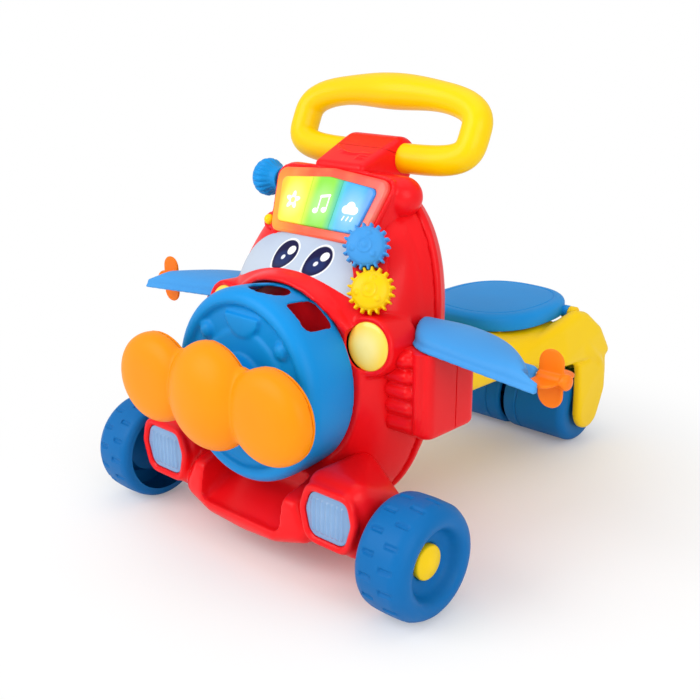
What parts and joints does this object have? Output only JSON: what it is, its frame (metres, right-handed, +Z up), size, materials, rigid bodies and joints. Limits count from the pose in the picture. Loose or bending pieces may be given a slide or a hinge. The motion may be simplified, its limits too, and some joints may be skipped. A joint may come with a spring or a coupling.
{
  "type": "ride-on airplane toy",
  "caption": "Push-and-ride airplane toy: drum nose with sorter holes and spinning propeller, wings with paddle wheels, lit keys, meshed gears, grab handle, lidded seat over rollers.",
  "frame": {"origin": "on the floor under the middle of the outline", "axes": "+Z up, nose towards -Y, the toy's left wing towards -X"},
  "size_m": [0.5564, 0.605, 0.4591],
  "materials": {
    "red_plastic": "gloss",
    "blue_plastic": "satin",
    "blue_wheel": "satin",
    "yellow_plastic": "gloss",
    "orange_plastic": "satin",
    "headlamp_lens": "gloss",
    "windscreen": "gloss",
    "yellow_lens": "gloss",
    "glow_rim": "lit",
    "key_yellow": "lit",
    "key_green": "lit",
    "key_blue": "lit",
    "pad_rubber": "matte",
    "board": "matte",
    "lamp": "clear",
    "speaker": "matte",
    "cell": "gloss",
    "steel": "zinc plated"
  },
  "bodies": {
    "fuselage": {"front_shell": "red_plastic", "rear_shell": "red_plastic", "front_bumper": "red_plastic", "windscreen": "windscreen", "nose_cone": "blue_plastic", "propeller_pin": "steel", "cheek_lamp_left": "yellow_lens", "cheek_lamp_right": "yellow_lens", "headlamp_left": "headlamp_lens", "headlamp_right": "headlamp_lens", "panel_hood": "red_plastic", "panel_rim": "glow_rim", "key_pad": "pad_rubber", "circuit_board": "board", "panel_lamps": "lamp", "speaker": "speaker", "gear_deck": "red_plastic", "gear_pins": "steel", "knob_pin": "steel", "handle_neck": "red_plastic", "handle_clamp": "red_plastic", "handle": "yellow_plastic", "wing_left": "blue_plastic", "wing_right": "blue_plastic", "paddle_pin_left": "steel", "paddle_pin_right": "steel", "side_pod_left": "red_plastic", "side_pod_right": "red_plastic", "front_axle": "steel", "front_axle_nuts": "steel", "tail_shell": "yellow_plastic", "tail_underside": "yellow_plastic", "storage_bin": "yellow_plastic", "seat_hinge_pins": "steel", "rear_axle": "steel", "battery_box": "red_plastic", "battery_cells": "cell", "battery_door": "red_plastic", "shell_screws": "steel"},
    "propeller": {"main_propeller": "orange_plastic", "propeller_back": "orange_plastic"},
    "front_wheel_left_spin": {"front_wheel_left": "blue_wheel", "hub_cap_left": "yellow_plastic"},
    "front_wheel_right_spin": {"front_wheel_right": "blue_wheel", "hub_cap_right": "yellow_plastic"},
    "rear_wheel_left_spin": {"rear_wheel_left": "blue_wheel"},
    "rear_wheel_right_spin": {"rear_wheel_right": "blue_wheel"},
    "paddle_left_spin": {"paddle_left": "orange_plastic"},
    "paddle_right_spin": {"paddle_right": "orange_plastic"},
    "blue_gear_spin": {"blue_gear": "blue_plastic"},
    "yellow_gear_spin": {"yellow_gear": "yellow_plastic"},
    "key_yellow_press": {"key_yellow": "key_yellow"},
    "key_green_press": {"key_green": "key_green"},
    "key_blue_press": {"key_blue": "key_blue"},
    "side_button_press": {"side_button": "yellow_plastic"},
    "side_knob_spin": {"side_knob": "blue_plastic"},
    "seat": {"seat_lid": "blue_plastic"}
  },
  "joints": [
    {"name": "propeller_turn", "type": "hinge", "parent": "fuselage", "child": "propeller", "pos_m": [0, -0.17554, 0.176], "axis": [0, -0.9994, 0.0349], "continuous": true},
    {"name": "front_wheel_left_turn", "type": "hinge", "parent": "fuselage", "child": "front_wheel_left_spin", "pos_m": [-0.1925, -0.20554, 0.056], "axis": [1, 0, 0], "continuous": true},
    {"name": "front_wheel_right_turn", "type": "hinge", "parent": "fuselage", "child": "front_wheel_right_spin", "pos_m": [0.1925, -0.20554, 0.056], "axis": [1, 0, 0], "continuous": true},
    {"name": "rear_wheel_left_turn", "type": "hinge", "parent": "fuselage", "child": "rear_wheel_left_spin", "pos_m": [-0.0435, 0.24646, 0.045], "axis": [1, 0, 0], "continuous": true},
    {"name": "rear_wheel_right_turn", "type": "hinge", "parent": "fuselage", "child": "rear_wheel_right_spin", "pos_m": [0.0435, 0.24646, 0.045], "axis": [1, 0, 0], "continuous": true},
    {"name": "paddle_left_turn", "type": "hinge", "parent": "fuselage", "child": "paddle_left_spin", "pos_m": [-0.249, -0.10954, 0.21671], "axis": [1, 0, 0], "continuous": true},
    {"name": "paddle_right_turn", "type": "hinge", "parent": "fuselage", "child": "paddle_right_spin", "pos_m": [0.249, -0.10954, 0.21671], "axis": [1, 0, 0], "continuous": true},
    {"name": "blue_gear_turn", "type": "hinge", "parent": "fuselage", "child": "blue_gear_spin", "pos_m": [0.07602, -0.14061, 0.30947], "axis": [0.4289, -0.8066, 0.4067], "continuous": true},
    {"name": "yellow_gear_turn", "type": "hinge", "parent": "fuselage", "child": "yellow_gear_spin", "pos_m": [0.09158, -0.15127, 0.27193], "axis": [0.4289, -0.8066, 0.4067], "continuous": true},
    {"name": "key_yellow_slide", "type": "slide", "parent": "fuselage", "child": "key_yellow_press", "axis": [0, 0.8988, -0.4384], "range_m": [0, 0.0025], "stiffness_N_per_m": 400},
    {"name": "key_green_slide", "type": "slide", "parent": "fuselage", "child": "key_green_press", "axis": [0, 0.8988, -0.4384], "range_m": [0, 0.0025], "stiffness_N_per_m": 400},
    {"name": "key_blue_slide", "type": "slide", "parent": "fuselage", "child": "key_blue_press", "axis": [0, 0.8988, -0.4384], "range_m": [0, 0.0025], "stiffness_N_per_m": 400},
    {"name": "side_button_slide", "type": "slide", "parent": "fuselage", "child": "side_button_press", "axis": [0, 0.8988, -0.4384], "range_m": [0, 0.0025], "stiffness_N_per_m": 400},
    {"name": "side_knob_turn", "type": "hinge", "parent": "fuselage", "child": "side_knob_spin", "pos_m": [-0.092, -0.08654, 0.35], "axis": [1, 0, 0], "continuous": true},
    {"name": "seat_hinge", "type": "hinge", "parent": "fuselage", "child": "seat", "pos_m": [0, 0.23046, 0.169], "axis": [-1, 0, 0], "range_deg": [0, 75]}
  ],
  "couplings": [
    {"joint": "yellow_gear_turn", "follows": "blue_gear_turn", "ratio": -1}
  ]
}
